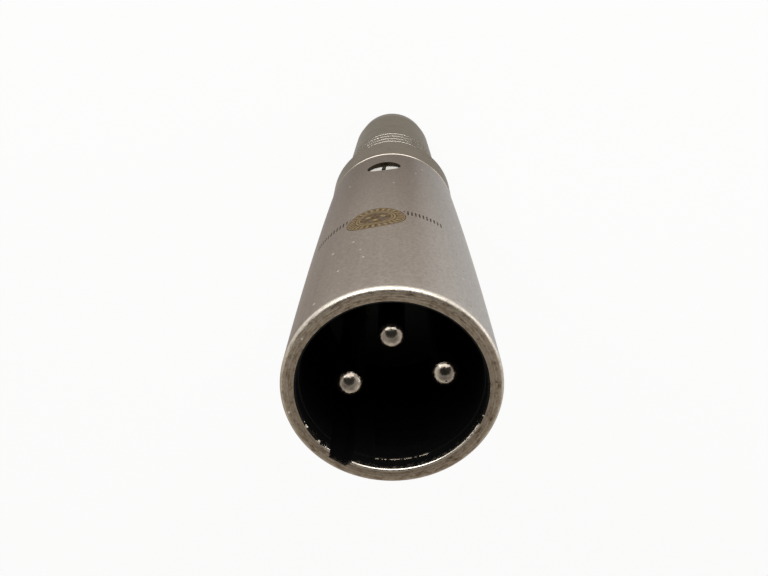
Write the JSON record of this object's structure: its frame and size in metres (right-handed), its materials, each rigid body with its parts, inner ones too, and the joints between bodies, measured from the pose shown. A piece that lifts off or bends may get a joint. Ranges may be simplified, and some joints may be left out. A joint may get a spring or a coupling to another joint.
{
  "type": "jack to xlr adapter",
  "caption": "Straight metal audio adapter: a three-pin male plug in a round shell at one end and a 6.35 mm jack socket in a slim ringed barrel at the other.",
  "frame": {"origin": "centre of the open end face of the jack barrel", "axes": "+Z along the adapter's axis towards the mouth and its pins; pin 3 and the retaining screw lie towards -Y, the latch side towards +Y, pin 2 towards +X"},
  "size_m": [0.019, 0.019, 0.0809],
  "materials": {
    "satin_nickel": "satin nickel plate",
    "screw_steel": "bright zinc plate",
    "pin_nickel": "polished nickel plate on brass",
    "black_plastic": "moulded, semi matt",
    "carrier_plastic": "moulded, semi matt",
    "spring_bronze": "nickel flashed phosphor bronze",
    "tinned_brass": "tinned",
    "copper": "tinned copper strand",
    "solder": "bright solder",
    "red_jacket": "PVC",
    "white_jacket": "PVC",
    "black_jacket": "PVC"
  },
  "bodies": {
    "adapter_body": {"shell": "satin_nickel", "jack_body": "satin_nickel", "retaining_screw": "screw_steel", "pin_insulator": "black_plastic", "pin_1": "pin_nickel", "pin_2": "pin_nickel", "pin_3": "pin_nickel", "ground_clip": "spring_bronze", "insulating_sleeve": "black_plastic", "contact_carrier": "carrier_plastic", "carrier_cap": "carrier_plastic", "sleeve_lug": "tinned_brass", "retaining_ring": "screw_steel", "tip_wire_core": "copper", "ring_wire_core": "copper", "sleeve_wire_core": "copper", "tip_wire_jacket": "red_jacket", "ring_wire_jacket": "white_jacket", "sleeve_wire_jacket": "black_jacket", "cup_solder": "solder"},
    "tip_contact": {"tip_spring": "spring_bronze"},
    "ring_contact": {"ring_spring": "spring_bronze"}
  },
  "joints": [
    {"name": "tip_contact_flex", "type": "hinge", "parent": "adapter_body", "child": "tip_contact", "pos_m": [0.0041, 0, 0.036], "axis": [0, -1, 0], "range_deg": [0, 4.8], "stiffness_Nm_per_rad": 0.32},
    {"name": "ring_contact_flex", "type": "hinge", "parent": "adapter_body", "child": "ring_contact", "pos_m": [-0.0041, 0, 0.036], "axis": [0, 1, 0], "range_deg": [0, 2.6], "stiffness_Nm_per_rad": 0.97}
  ]
}
